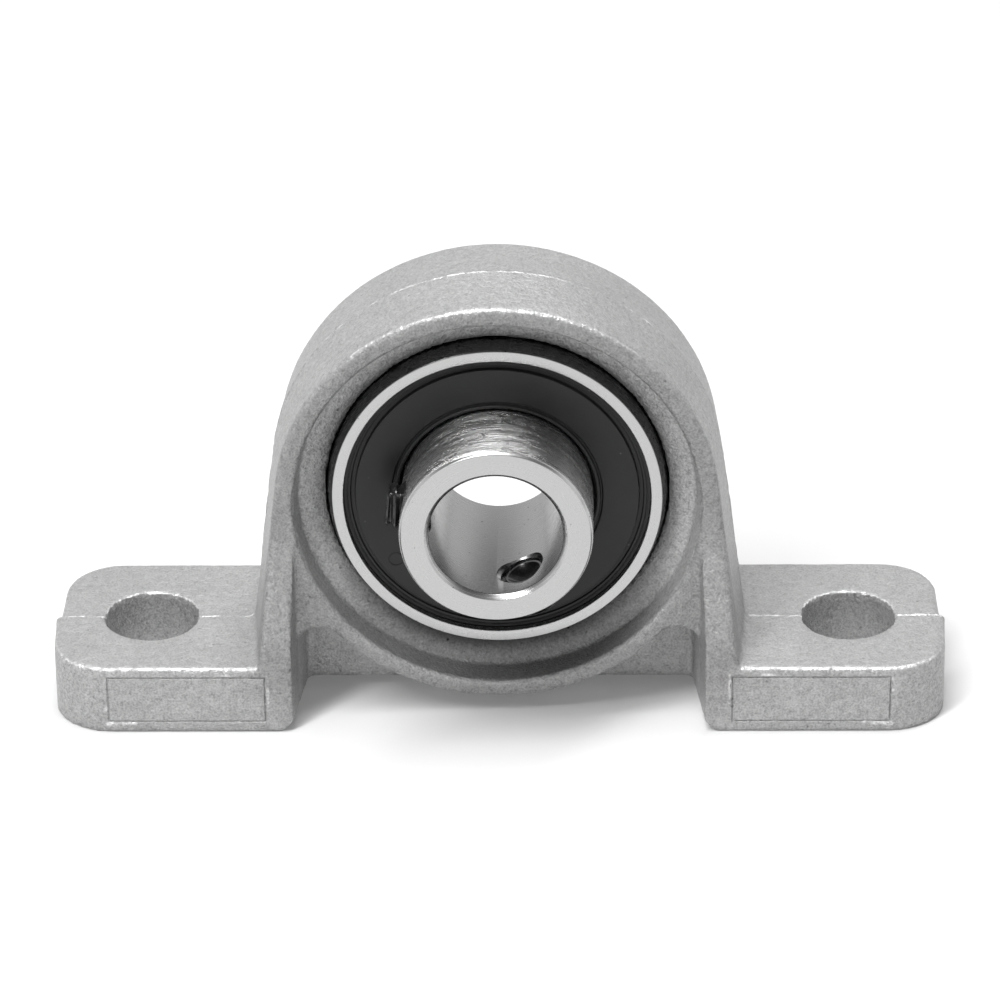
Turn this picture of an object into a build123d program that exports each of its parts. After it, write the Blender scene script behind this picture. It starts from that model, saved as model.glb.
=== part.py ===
from build123d import *
import math
import os

# Pillow block bearing: a die-cast housing with two feet carries a self-aligning ball bearing insert.
# X runs along the base, -Y is the front, where the inner ring stands out, and +Z is up.
# The origin lies on the mounting plane, under the bearing centre. All lengths are millimetres.

# Bearing insert: driving sizes
bore_radius = 5.0
bore_chamfer = 0.3
outer_sphere_radius = 13.0
ball_radius = 2.381
ball_count = 7
race_clearance = 0.03
groove_ratio = 1.04
inner_shoulder_depth = 0.61
outer_shoulder_depth = 0.85
inner_ring_reach = 10.0
inner_ring_edge = 0.15
outer_ring_edge = 0.12
outer_rim_width = 0.86

# Ribbon cage and its rivets
cage_sheet = 0.35
cage_pocket_clearance = 0.08
cage_edge_gap = 0.5
rivet_shank_radius = 0.4
rivet_head_radius = 0.72
rivet_head_height = 0.3

# Seals: a rubber ring bonded over a steel washer
cage_to_seal_gap = 0.189
seal_depth = 1.0
washer_thickness = 0.2
seal_face_drop = 0.35
seal_groove_drop = 0.6
seal_lip_drop = 0.18
seal_bead_height = 0.2
seal_bead_thickness = 0.35
seal_clearance = 0.05
seal_moat_width = 0.85
seal_lip_width = 0.45
seal_lip_slope = 0.4

# Set screws, a third of a turn apart, in the part of the inner ring that stands out
left_screw_angle = 172.5
screw_spread_angle = 120.0
set_screw_setback = 3.3
set_screw_radius = 1.7
set_screw_length = 3.0
set_screw_fit = 0.05
set_screw_tip_gap = 0.2
set_screw_edge = 0.2
set_screw_cup_depth = 0.45
socket_across_flats = 2.0
socket_depth = 1.4
screw_hole_mouth = 0.3

# Housing: driving sizes
drum_base_gap = 1.0
base_length = 67.0
base_width = 16.0
foot_height = 5.5
foot_corner_radius = 4.2
foot_end_draft = 2.0
bolt_spacing = 53.0
bolt_hole_radius = 3.5
drum_half_width = 5.5
drum_rim = 1.95
leg_slope = 7.0
leg_thickness = 2.3
leg_knee_drop = 3.0
leg_toe_height = 1.8
leg_toe_straight = 0.1
outer_draft = 4.5
inner_draft = 7.5
rib_half_thickness = 1.5
rib_underside = 1.0
web_corner_radius = 1.2
leg_corner_break = 0.8
foot_root_radius = 0.6
drum_edge_radius = 0.35

# Seat and recess inside the drum
seat_clearance = 0.05
seat_half_width = 2.6
recess_margin = 2.05
recess_wall_lean = 0.15
recess_floor_rise = 0.45
recess_corner_radius = 0.8
recess_edge = 0.25

# Sizes that follow from the ones above
pitch_radius = (bore_radius + outer_sphere_radius) / 2
inner_ring_radius = pitch_radius - ball_radius - race_clearance + inner_shoulder_depth
outer_land_radius = pitch_radius + ball_radius + race_clearance - outer_shoulder_depth
groove_radius = ball_radius * groove_ratio
pocket_radius = ball_radius + cage_pocket_clearance
pocket_shell_radius = pocket_radius + cage_sheet
seal_back = pocket_shell_radius + cage_to_seal_gap
ring_half_width = seal_back + seal_depth
outer_face_radius = math.sqrt(outer_sphere_radius**2 - ring_half_width**2)
seal_seat_radius = outer_face_radius - outer_rim_width
seal_groove_radius = seal_seat_radius + seal_bead_height
cage_inner_radius = inner_ring_radius + cage_edge_gap
cage_outer_radius = outer_land_radius - cage_edge_gap
recess_radius = outer_sphere_radius + recess_margin
drum_radius = recess_radius + drum_rim
bore_height = drum_radius + drum_base_gap
leg_inner_gap = drum_radius - leg_thickness
set_screw_plane_y = set_screw_setback - inner_ring_reach
set_screw_angles = {
    "left_set_screw": left_screw_angle,
    "lower_set_screw": left_screw_angle + screw_spread_angle,
}
skirt = 2.0
beyond = 1.0

bearing_centre = (0, 0, bore_height)
bearing_axis = Axis(bearing_centre, (0, 1, 0))
# Half sections are drawn with the axial place as x and the radius as y, then revolved.
section_plane = Plane(bearing_centre, x_dir=(0, 1, 0), z_dir=(1, 0, 0))
# Looking at the front: x to the right, y up, normal towards the front.
front_plane = Plane(bearing_centre, x_dir=(1, 0, 0), z_dir=(0, -1, 0))
base_front_plane = Plane.XZ


def on_circle(radius, degrees):
    """Return a point of the front plane at a radius and an angle from +X."""
    angle = math.radians(degrees)
    return (radius * math.cos(angle), radius * math.sin(angle))


def ball_angles():
    """Return the angle of each ball, the first one at the top."""
    return [90 + 360 * place / ball_count for place in range(ball_count)]


def rivet_angles():
    """Return the angles half way between neighbouring balls."""
    return [angle + 180 / ball_count for angle in ball_angles()]


def half_groove(bottom_radius, shoulder_radius):
    """Return half the width of a ball groove where it meets its shoulder."""
    arc_centre = pitch_radius + math.copysign(
        abs(bottom_radius - pitch_radius) - groove_radius, bottom_radius - pitch_radius
    )
    return math.sqrt(groove_radius**2 - (shoulder_radius - arc_centre) ** 2)


def save(part, label):
    """Name a finished piece and write it to its own file."""
    part.label = label
    export_step(part, "parts/" + label + ".step")


os.makedirs("parts", exist_ok=True)

# Housing. The front half is built from the parting plane forwards, with draft, and then mirrored.
lean = math.radians(leg_slope)
tangent_x = drum_radius * math.cos(lean)
tangent_z = bore_height + drum_radius * math.sin(lean)
toe_x = drum_radius / math.cos(lean) + (bore_height + skirt) * math.tan(lean)
half_base = base_width / 2
leg_toe_z = foot_height + leg_toe_height
leg_knee_z = bore_height - leg_knee_drop
leg_spread = math.atan2(half_base - drum_half_width, leg_knee_z - leg_toe_z)
leg_bend_run = leg_toe_height - foot_root_radius - leg_toe_straight
leg_bend_radius = leg_bend_run / math.tan(leg_spread / 2)
window_draft_run = (drum_half_width - rib_half_thickness) * math.tan(math.radians(inner_draft))
end_setback = half_base * math.tan(math.radians(foot_end_draft))
drum_rib_radius = drum_radius - rib_half_thickness * math.tan(math.radians(outer_draft))

with BuildPart() as housing:
    # Drum and both legs in one outline, seen from the front
    with BuildSketch(base_front_plane):
        with BuildLine():
            ThreePointArc(
                (-tangent_x, tangent_z), (0, bore_height + drum_radius), (tangent_x, tangent_z)
            )
            Polyline((tangent_x, tangent_z), (toe_x, -skirt), (-toe_x, -skirt), (-tangent_x, tangent_z))
        make_face()
    extrude(amount=half_base + beyond, taper=outer_draft)

    # Seen from the side: the drum is narrow and the legs spread forwards to the foot's edge
    with BuildSketch(Plane.YZ):
        with BuildLine():
            FilletPolyline(
                (-half_base, -skirt),
                (-half_base, leg_toe_z),
                (-drum_half_width, leg_knee_z),
                (-drum_half_width, bore_height + drum_radius + beyond),
                radius=leg_bend_radius,
            )
            Polyline(
                (-drum_half_width, bore_height + drum_radius + beyond),
                (0, bore_height + drum_radius + beyond),
                (0, -skirt),
                (-half_base, -skirt),
            )
        make_face()
    extrude(amount=base_length, both=True, mode=Mode.INTERSECT)

    # Soften the outer edge of the drum and legs, and leave the bends across the legs alone
    front_edges = housing.edges().filter_by_position(Axis.Y, -half_base, -drum_half_width)
    above_skirt = front_edges.filter_by_position(Axis.Z, 0.01 - skirt, bore_height + drum_radius)
    fillet(above_skirt.filter_by(Axis.X, reverse=True), drum_edge_radius)

    # Front half of each foot: outer corner rounded in plan, end drafted, upper rim softened
    with BuildPart(mode=Mode.PRIVATE) as foot:
        with BuildSketch(Plane.XY.offset(-skirt)) as foot_plan:
            with BuildLine():
                Polyline(
                    (leg_inner_gap, 0),
                    (leg_inner_gap, -half_base),
                    (base_length / 2 - end_setback, -half_base),
                    (base_length / 2, 0),
                    close=True,
                )
            make_face()
            corner = foot_plan.vertices().group_by(Axis.Y)[0].sort_by(Axis.X)[-1]
            fillet(corner, foot_corner_radius)
        extrude(amount=skirt + foot_height)
        top_edges = foot.faces().sort_by(Axis.Z)[-1].edges()
        front_and_corner = top_edges.filter_by_position(Axis.Y, -half_base, -0.1)
        fillet(front_and_corner.sort_by(Axis.X)[1:], drum_edge_radius)
    add(foot.part)
    mirror(foot.part, about=Plane.YZ)

    # Rounded roots where the legs stand on the feet, sloping with the legs' draft
    root_x = drum_radius / math.cos(lean) + (bore_height - foot_height) * math.tan(lean)
    root_run = foot_root_radius * math.tan((math.pi / 2 - lean) / 2)
    root_slide = math.tan(math.radians(outer_draft)) / math.cos(lean)
    for side in (-1, 1):
        on_leg = (side * (root_x - root_run * math.sin(lean)), foot_height + root_run * math.cos(lean))
        on_foot = (side * (root_x + root_run), foot_height)
        with BuildSketch(base_front_plane):
            with BuildLine():
                TangentArc(on_foot, on_leg, tangent=(-side, 0))
                Polyline(on_leg, (side * (root_x - root_run), foot_height - root_run), on_foot)
            make_face()
        extrude(amount=half_base - drum_edge_radius, dir=(-side * root_slide, -1, 0))

    # Between the legs the drum's own face is bare from knee to base
    with BuildSketch(base_front_plane.offset(drum_half_width)):
        with Locations((0, (bore_height - skirt) / 2)):
            Rectangle(2 * (leg_inner_gap + window_draft_run), bore_height + skirt)
    extrude(amount=half_base - drum_half_width, taper=-inner_draft, mode=Mode.SUBTRACT)

    # Window under the drum, open to the front and closed behind by the rib
    with BuildSketch(base_front_plane.offset(rib_half_thickness)) as window:
        with Locations((0, (bore_height - skirt) / 2)):
            Rectangle(2 * leg_inner_gap, bore_height + skirt)
        with Locations((0, bore_height)):
            Circle(drum_rib_radius, mode=Mode.SUBTRACT)
        fillet(window.vertices().group_by(Axis.Y)[-1], web_corner_radius)
    extrude(amount=drum_half_width - rib_half_thickness, taper=-inner_draft, mode=Mode.SUBTRACT)

    # The rib stops short of the mounting plane
    with BuildSketch(base_front_plane):
        with Locations((0, (rib_underside - skirt) / 2)):
            Rectangle(2 * leg_inner_gap, rib_underside + skirt)
    extrude(amount=rib_half_thickness, mode=Mode.SUBTRACT)

    mirror(about=Plane.XZ)
    split(bisect_by=Plane.XY, keep=Keep.TOP)

    # Broken corners under the legs
    undersides = housing.edges().filter_by_position(Axis.Z, -0.01, 0.01)
    inner_edges = undersides.filter_by_position(Axis.X, -drum_radius, drum_radius)
    chamfer(inner_edges.filter_by(Axis.X, reverse=True), leg_corner_break)

    # Recess and spherical seat, the same on both faces
    seat_radius = outer_sphere_radius + seat_clearance
    seat_edge = math.sqrt(seat_radius**2 - seat_half_width**2)
    with BuildSketch(section_plane) as seat:
        with BuildLine():
            ThreePointArc((-seat_half_width, seat_edge), (0, seat_radius), (seat_half_width, seat_edge))
            for side in (-1, 1):
                FilletPolyline(
                    (side * seat_half_width, seat_edge),
                    (side * (seat_half_width + recess_floor_rise), recess_radius - recess_wall_lean),
                    (side * (drum_half_width - recess_edge), recess_radius),
                    radius=recess_corner_radius,
                )
                Polyline(
                    (side * (drum_half_width - recess_edge), recess_radius),
                    (side * (drum_half_width + beyond), recess_radius + recess_edge + beyond),
                    (side * (drum_half_width + beyond), 0),
                )
            Line((-drum_half_width - beyond, 0), (drum_half_width + beyond, 0))
        make_face()
    revolve(axis=bearing_axis, mode=Mode.SUBTRACT)

    # Bolt holes
    with Locations((-bolt_spacing / 2, 0, foot_height), (bolt_spacing / 2, 0, foot_height)):
        Hole(bolt_hole_radius, depth=foot_height)

save(housing.part, "housing")

# Outer ring: a ball outside, one ball groove and two seal seats inside
outer_groove_bottom = pitch_radius + ball_radius + race_clearance
outer_groove_half = half_groove(outer_groove_bottom, outer_land_radius)
bead_outer = seal_back + seal_bead_thickness

with BuildPart() as outer_ring:
    with BuildSketch(section_plane):
        with BuildLine():
            ThreePointArc(
                (-ring_half_width, outer_face_radius),
                (0, outer_sphere_radius),
                (ring_half_width, outer_face_radius),
            )
            for side in (-1, 1):
                Polyline(
                    (side * ring_half_width, outer_face_radius),
                    (side * ring_half_width, seal_seat_radius),
                    (side * (bead_outer + seal_bead_height / 2), seal_seat_radius),
                    (side * bead_outer, seal_groove_radius),
                    (side * seal_back, seal_groove_radius),
                    (side * seal_back, outer_land_radius),
                    (side * outer_groove_half, outer_land_radius),
                )
            ThreePointArc(
                (-outer_groove_half, outer_land_radius),
                (0, outer_groove_bottom),
                (outer_groove_half, outer_land_radius),
            )
        make_face()
    revolve(axis=bearing_axis)
    face_edges = outer_ring.edges().filter_by(GeomType.CIRCLE).group_by(Axis.Y)
    rim_edges = [face_edges[0].sort_by(SortBy.RADIUS)[-1], face_edges[-1].sort_by(SortBy.RADIUS)[-1]]
    chamfer(rim_edges, outer_ring_edge)

save(outer_ring.part, "outer_ring")

# Inner ring: long towards the front, flush at the back, with two holes for the set screws
inner_groove_bottom = pitch_radius - ball_radius - race_clearance
inner_groove_half = half_groove(inner_groove_bottom, inner_ring_radius)


def set_screw_plane(degrees, radius):
    """Return the plane across a set screw's axis at a radius, its normal pointing outwards."""
    x, z = on_circle(radius, degrees)
    direction = on_circle(1, degrees)
    return Plane(
        (x, set_screw_plane_y, bore_height + z), x_dir=(0, 1, 0), z_dir=(direction[0], 0, direction[1])
    )


with BuildPart() as inner_ring:
    with BuildSketch(section_plane):
        with BuildLine():
            Polyline(
                (inner_groove_half, inner_ring_radius),
                (ring_half_width - inner_ring_edge, inner_ring_radius),
                (ring_half_width, inner_ring_radius - inner_ring_edge),
                (ring_half_width, bore_radius + bore_chamfer),
                (ring_half_width - bore_chamfer, bore_radius),
                (-inner_ring_reach + bore_chamfer, bore_radius),
                (-inner_ring_reach, bore_radius + bore_chamfer),
                (-inner_ring_reach, inner_ring_radius - inner_ring_edge),
                (-inner_ring_reach + inner_ring_edge, inner_ring_radius),
                (-inner_groove_half, inner_ring_radius),
            )
            ThreePointArc(
                (-inner_groove_half, inner_ring_radius),
                (0, inner_groove_bottom),
                (inner_groove_half, inner_ring_radius),
            )
        make_face()
    revolve(axis=bearing_axis)
    hole_radius = set_screw_radius + set_screw_fit
    for degrees in set_screw_angles.values():
        with BuildSketch(set_screw_plane(degrees, bore_radius / 2)):
            Circle(hole_radius)
        extrude(amount=inner_ring_radius, mode=Mode.SUBTRACT)
        with BuildSketch(set_screw_plane(degrees, inner_ring_radius)):
            Circle(hole_radius + screw_hole_mouth)
        extrude(amount=-screw_hole_mouth, taper=45, mode=Mode.SUBTRACT)

save(inner_ring.part, "inner_ring")

# Set screws: hexagon socket outside, cup point inside
for label, degrees in set_screw_angles.items():
    tip_radius = bore_radius + set_screw_tip_gap
    with BuildPart() as set_screw:
        with BuildSketch(set_screw_plane(degrees, tip_radius)):
            Circle(set_screw_radius)
        extrude(amount=set_screw_length)
        chamfer(set_screw.edges().filter_by(GeomType.CIRCLE), set_screw_edge)
        with BuildSketch(set_screw_plane(degrees, tip_radius + set_screw_length)):
            RegularPolygon(socket_across_flats / 2, side_count=6, major_radius=False)
        extrude(amount=-socket_depth, mode=Mode.SUBTRACT)
        with BuildSketch(set_screw_plane(degrees, tip_radius)):
            Circle(set_screw_radius - 2 * set_screw_edge)
        extrude(amount=set_screw_cup_depth, taper=60, mode=Mode.SUBTRACT)
    save(set_screw.part, label)

# Balls
for number, degrees in enumerate(ball_angles(), start=1):
    x, z = on_circle(pitch_radius, degrees)
    with BuildPart() as ball:
        with Locations((x, 0, bore_height + z)):
            Sphere(ball_radius)
    save(ball.part, "ball_" + str(number))

# Ribbon cage: two pressed rings with a pocket over each ball, riveted together between the balls
pocket_centres = [(*on_circle(pitch_radius, degrees), 0) for degrees in ball_angles()]
rivet_centres = [on_circle(pitch_radius, degrees) for degrees in rivet_angles()]

for label, facing in (("cage_front", 1), ("cage_rear", -1)):
    with BuildPart(front_plane) as cage_half:
        with Locations(*pocket_centres):
            Sphere(pocket_shell_radius)
        with BuildSketch(front_plane):
            Circle(cage_outer_radius)
        extrude(amount=facing * cage_sheet)
        with BuildSketch(front_plane):
            Circle(cage_outer_radius)
            Circle(cage_inner_radius, mode=Mode.SUBTRACT)
        extrude(amount=facing * pocket_shell_radius, mode=Mode.INTERSECT)
        with Locations(*pocket_centres):
            Sphere(pocket_radius, mode=Mode.SUBTRACT)
        with BuildSketch(front_plane):
            with Locations(*rivet_centres):
                Circle(rivet_shank_radius)
        extrude(amount=facing * cage_sheet, mode=Mode.SUBTRACT)
    save(cage_half.part, label)

for number, centre in enumerate(rivet_centres, start=1):
    with BuildPart() as rivet:
        with BuildSketch(front_plane.offset(-cage_sheet)):
            with Locations(centre):
                Circle(rivet_shank_radius)
        extrude(amount=2 * cage_sheet)
        for start in (-cage_sheet - rivet_head_height, cage_sheet):
            with BuildSketch(front_plane.offset(start)):
                with Locations(centre):
                    Circle(rivet_head_radius)
            extrude(amount=rivet_head_height)
        head_rims = rivet.edges().filter_by(GeomType.CIRCLE).group_by(Axis.Y)
        fillet([head_rims[0][0], head_rims[-1][0]], rivet_head_height / 2)
    save(rivet.part, "cage_rivet_" + str(number))

# Seals: the washer lies behind the rubber, which wraps its outer and inner edges
washer_outer = outer_land_radius + (seal_seat_radius - outer_land_radius) / 2
washer_inner = inner_ring_radius + seal_clearance + 2 * seal_lip_width
lip_inner = inner_ring_radius + seal_clearance

for label, side in (("front", -1), ("rear", 1)):
    with BuildPart() as washer:
        with BuildSketch(section_plane):
            with BuildLine():
                Polyline(
                    (side * seal_back, washer_inner),
                    (side * seal_back, washer_outer),
                    (side * (seal_back + washer_thickness), washer_outer),
                    (side * (seal_back + washer_thickness), washer_inner),
                    close=True,
                )
            make_face()
        revolve(axis=bearing_axis)
    save(washer.part, label + "_seal_washer")

    bead_radius = seal_groove_radius - seal_clearance
    face = ring_half_width - seal_face_drop
    groove = ring_half_width - seal_groove_drop
    lip = ring_half_width - seal_lip_drop
    moat_outer = seal_seat_radius - seal_clearance
    moat_inner = moat_outer - seal_moat_width
    lip_outer = lip_inner + 2 * seal_lip_width
    with BuildPart() as seal:
        with BuildSketch(section_plane):
            with BuildLine():
                Polyline(
                    (side * seal_back, washer_outer),
                    (side * seal_back, bead_radius),
                    (side * (seal_back + seal_bead_thickness - seal_clearance), bead_radius),
                    (side * groove, moat_outer),
                    (side * groove, moat_inner),
                    (side * face, moat_inner - (face - groove)),
                    (side * face, lip_outer + seal_lip_width / 2),
                    (side * (face - seal_bead_height / 2), lip_outer),
                    (side * lip, lip_outer - seal_lip_width / 4),
                    (side * lip, lip_inner + seal_lip_width / 2),
                    (side * (seal_back + washer_thickness), lip_inner),
                    (side * seal_back, lip_inner + seal_lip_slope / 2),
                    (side * seal_back, washer_inner),
                    (side * (seal_back + washer_thickness), washer_inner),
                    (side * (seal_back + washer_thickness), washer_outer),
                    close=True,
                )
            make_face()
        revolve(axis=bearing_axis)
    save(seal.part, label + "_seal")
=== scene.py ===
import logging
import math
from collections.abc import Iterable, Mapping
from dataclasses import dataclass
from enum import Enum

import bmesh
import bpy
from mathutils import Matrix, Vector, noise


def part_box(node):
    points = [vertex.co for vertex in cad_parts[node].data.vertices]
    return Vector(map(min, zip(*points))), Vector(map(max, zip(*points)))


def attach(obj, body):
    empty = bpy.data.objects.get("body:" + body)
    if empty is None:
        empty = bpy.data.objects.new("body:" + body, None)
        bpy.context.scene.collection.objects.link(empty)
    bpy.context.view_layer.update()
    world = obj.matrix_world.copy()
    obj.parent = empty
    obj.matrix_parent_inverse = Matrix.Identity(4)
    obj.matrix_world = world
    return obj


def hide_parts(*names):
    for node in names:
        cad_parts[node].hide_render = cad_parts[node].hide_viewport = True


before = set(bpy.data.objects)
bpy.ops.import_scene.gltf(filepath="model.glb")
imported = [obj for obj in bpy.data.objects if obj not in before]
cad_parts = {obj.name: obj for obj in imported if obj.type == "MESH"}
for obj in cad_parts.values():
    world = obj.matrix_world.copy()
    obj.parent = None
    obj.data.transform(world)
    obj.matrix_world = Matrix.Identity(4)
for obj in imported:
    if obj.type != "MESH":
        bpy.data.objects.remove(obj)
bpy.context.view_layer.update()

# A die-cast pillow block bearing, dressed for a product photograph.
# Meshes are made in millimetres about a handy centre, and handed over in metres in the frame's place.
# X runs along the base, -Y is the front and +Z is up.

MILLIMETRE = 0.001
WELD = 1e-5
ON_PLANE = 1e-3
NEAR = 0.01
FULL_TURN = math.tau
ROUNDING_STEPS = 4
AXIS_UP = Matrix.Rotation(math.radians(90), 4, "X")

# A corner is its place along the axis, its distance out from it, and its rounding if it has one.
Corner = tuple[float, ...]
# Waves are layers of noise, each with its lumps to the millimetre and its weight.
Waves = tuple[tuple[float, float], ...]
Span = tuple[float, float]
Element = bmesh.types.BMVert | bmesh.types.BMEdge | bmesh.types.BMFace

log = logging.getLogger("pillow_block")


class Slot(Enum):
    """The material slots that the record names."""

    CAST_ZINC = "cast_zinc"
    BEARING_STEEL = "bearing_steel"
    PRESSED_STEEL = "pressed_steel"
    BALL_STEEL = "ball_steel"
    BLACK_STEEL = "black_steel"
    SEAL_RUBBER = "seal_rubber"


class Body(Enum):
    """The bodies that a new piece can ride on."""

    HOUSING = "housing"
    OUTER = "bearing_outer"
    INNER = "bearing_inner"
    LEFT_SCREW = "left_set_screw"
    LOWER_SCREW = "lower_set_screw"


class Cut(Enum):
    """What a tool shape does to the piece that it meets."""

    TAKE_AWAY = "DIFFERENCE"
    KEEP_INSIDE = "INTERSECT"


@dataclass(frozen=True)
class NodeBox:
    """The box of one CAD node at rest, in millimetres."""

    low: Vector
    high: Vector

    @classmethod
    def of(cls, node: str) -> "NodeBox":
        """Measure a node by its name."""
        low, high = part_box(node)
        return cls(Vector(low) / MILLIMETRE, Vector(high) / MILLIMETRE)

    @property
    def middle(self) -> Vector:
        """Give the centre of the box."""
        return (self.low + self.high) / 2

    @property
    def size(self) -> Vector:
        """Give the lengths of the box's sides."""
        return self.high - self.low


@dataclass(frozen=True)
class Grain:
    """Cloudy noise in a finish: its lumps to the millimetre, and how much it changes each quality."""

    per_millimetre: float
    detail: float = 2.0
    tone: float = 0.0
    roughness: float = 0.0
    height: float = 0.0


@dataclass(frozen=True)
class Specks:
    """Round specks in a finish. Radius and heart, its full middle, are shares of their distance."""

    per_millimetre: float
    radius: float
    heart: float = 0.4
    tone: float = 0.0
    roughness: float = 0.0
    height: float = 0.0


class Value:
    """A number that varies over a surface: one socket, whose arithmetic adds Math nodes."""

    def __init__(self, nodes: "Nodes", socket: bpy.types.NodeSocket) -> None:
        """Hold the socket and the node tree that it is in."""
        self.nodes = nodes
        self.socket = socket

    def _math(self, operation: str, *terms: "float | Value") -> "Value":
        """Add one Math node.

        Args:
            operation: Blender's name of the operation.
            terms: The numbers or values that it works on, in order.

        Returns:
            The result, as a value of the same tree.
        """
        node = self.nodes.node("ShaderNodeMath", {"operation": operation}, dict(enumerate(terms)))
        return Value(self.nodes, node.outputs[0])

    def __add__(self, other: "float | Value") -> "Value":
        """Add a number or value."""
        return self._math("ADD", self, other)

    def __radd__(self, other: float) -> "Value":
        """Add this value to a number."""
        return self._math("ADD", other, self)

    def __sub__(self, other: "float | Value") -> "Value":
        """Subtract a number or value."""
        return self._math("SUBTRACT", self, other)

    def __rsub__(self, other: float) -> "Value":
        """Subtract this value from a number."""
        return self._math("SUBTRACT", other, self)

    def __mul__(self, other: "float | Value") -> "Value":
        """Multiply by a number or value."""
        return self._math("MULTIPLY", self, other)

    def __rmul__(self, other: float) -> "Value":
        """Multiply a number by this value."""
        return self._math("MULTIPLY", other, self)

    def __pow__(self, power: float) -> "Value":
        """Raise to a power."""
        return self._math("POWER", self, power)

    def larger(self, other: "float | Value") -> "Value":
        """Give the larger of this and another."""
        return self._math("MAXIMUM", self, other)

    def rise(self, low: float, high: float) -> "Value":
        """Go smoothly from 0 to 1 as this value goes from low to high.

        Args:
            low: Where the rise starts. It may be above high, and then the result falls.
            high: Where the rise ends.

        Returns:
            The share of the rise, from 0 to 1.
        """
        node = self.nodes.node(
            "ShaderNodeMapRange",
            {"interpolation_type": "SMOOTHSTEP"},
            {"Value": self, "From Min": low, "From Max": high, "To Min": 0.0, "To Max": 1.0},
        )
        return Value(self.nodes, node.outputs["Result"])


class Nodes:
    """A node tree that is written as expressions."""

    def __init__(self, tree: bpy.types.NodeTree) -> None:
        """Take over a tree and empty it."""
        self.tree = tree
        self.tree.nodes.clear()

    def node(
        self,
        kind: str,
        settings: Mapping[str, object] | None = None,
        inputs: Mapping[str | int, object] | None = None,
    ) -> bpy.types.Node:
        """Add any node.

        Args:
            kind: The node's type.
            settings: Its properties, which are set first.
            inputs: A number, colour, value or socket for each input that is used.

        Returns:
            The new node.
        """
        node = self.tree.nodes.new(kind)
        for name, setting in (settings or {}).items():
            setattr(node, name, setting)
        for key, source in (inputs or {}).items():
            socket = node.inputs[key]
            if isinstance(source, Value):
                source = source.socket
            if isinstance(source, bpy.types.NodeSocket):
                self.tree.links.new(source, socket)
            else:
                socket.default_value = source
        return node


class Shade(Nodes):
    """One material: a Principled surface and the patterns that drive it, in millimetres."""

    def __init__(self, name: str, constants: Mapping[str, float]) -> None:
        """Start a material.

        Args:
            name: The finish's plain name.
            constants: What is the same all over, set on the surface's own sockets.
        """
        self.material = bpy.data.materials.new(name)
        self.material.use_nodes = True
        super().__init__(self.material.node_tree)
        self.surface = self.node("ShaderNodeBsdfPrincipled", inputs=constants)
        self.node("ShaderNodeOutputMaterial", inputs={"Surface": self.surface.outputs["BSDF"]})
        scaling = {0: self.node("ShaderNodeTexCoord").outputs["Object"], "Scale": 1 / MILLIMETRE}
        self.place = self.node("ShaderNodeVectorMath", {"operation": "SCALE"}, scaling).outputs[0]

    def noise(self, grain: Grain, where: bpy.types.NodeSocket | None = None) -> Value:
        """Add the cloudy noise of a grain.

        Args:
            grain: How fine and how detailed it is.
            where: The vector that it is read at, if that isn't the place on the piece.

        Returns:
            The noise, which lies about 0.5.
        """
        inputs = {"Vector": where or self.place, "Scale": grain.per_millimetre, "Detail": grain.detail}
        node = self.node("ShaderNodeTexNoise", {"noise_dimensions": "3D"}, inputs)
        return Value(self, node.outputs[0])

    def specks(self, specks: Specks) -> Value:
        """Add scattered round specks.

        Args:
            specks: How many and how large they are.

        Returns:
            1 at the middle of a speck and 0 outside it.
        """
        inputs = {"Vector": self.place, "Scale": specks.per_millimetre, "Randomness": 1.0}
        node = self.node("ShaderNodeTexVoronoi", {"feature": "F1"}, inputs)
        distance = Value(self, node.outputs["Distance"])
        return distance.rise(specks.radius, specks.radius * specks.heart)

    def attribute(self, name: str) -> Value:
        """Read a number that the mesh holds at its points."""
        return Value(self, self.node("ShaderNodeAttribute", {"attribute_name": name}).outputs["Fac"])

    def around(self, centre: Vector) -> tuple[Value, Value, Value]:
        """Measure from the bearing axis.

        Args:
            centre: A point of the axis, in millimetres.

        Returns:
            The distance from the axis, the place along it and the height over it.
        """
        centred = self.node(
            "ShaderNodeVectorMath", {"operation": "SUBTRACT"}, {0: self.place, 1: tuple(centre)}
        )
        parts = self.node("ShaderNodeSeparateXYZ", inputs={0: centred.outputs[0]})
        across, along, up = (Value(self, output) for output in parts.outputs)
        return (across * across + up * up) ** 0.5, along, up

    def turned(self, grain: Grain, radius: Value, along: Value) -> Value:
        """Add fine lines that run round the bearing axis, as a lathe or grinder leaves them.

        Args:
            grain: How many lines lie along a millimetre, and how detailed they are.
            radius: The distance from the axis.
            along: The place along the axis.

        Returns:
            The lines, which lie about 0.5.
        """
        spread = {0: radius * grain.per_millimetre, 1: along * grain.per_millimetre, 2: 0.0}
        where = self.node("ShaderNodeCombineXYZ", inputs=spread).outputs[0]
        return self.noise(Grain(1.0, grain.detail), where)

    def grey(self, tone: "float | Value") -> None:
        """Paint the surface in a neutral tone."""
        scaling = {0: (1.0, 1.0, 1.0), "Scale": tone}
        painted = self.node("ShaderNodeVectorMath", {"operation": "SCALE"}, scaling)
        self.feed("Base Color", painted.outputs[0])

    def feed(self, name: str, source: "Value | bpy.types.NodeSocket") -> None:
        """Drive one of the surface's inputs with a value or a socket."""
        socket = source.socket if isinstance(source, Value) else source
        self.tree.links.new(socket, self.surface.inputs[name])

    def relief(self, *layers: tuple[Value, float]) -> None:
        """Raise the surface by patterns.

        Args:
            layers: A pattern and its height in millimetres, each.
        """
        normal = None
        for pattern, height in layers:
            inputs = {"Height": pattern, "Distance": height * MILLIMETRE, "Strength": 1.0}
            if normal is not None:
                inputs["Normal"] = normal
            normal = self.node("ShaderNodeBump", inputs=inputs).outputs["Normal"]
        self.feed("Normal", normal)


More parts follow.
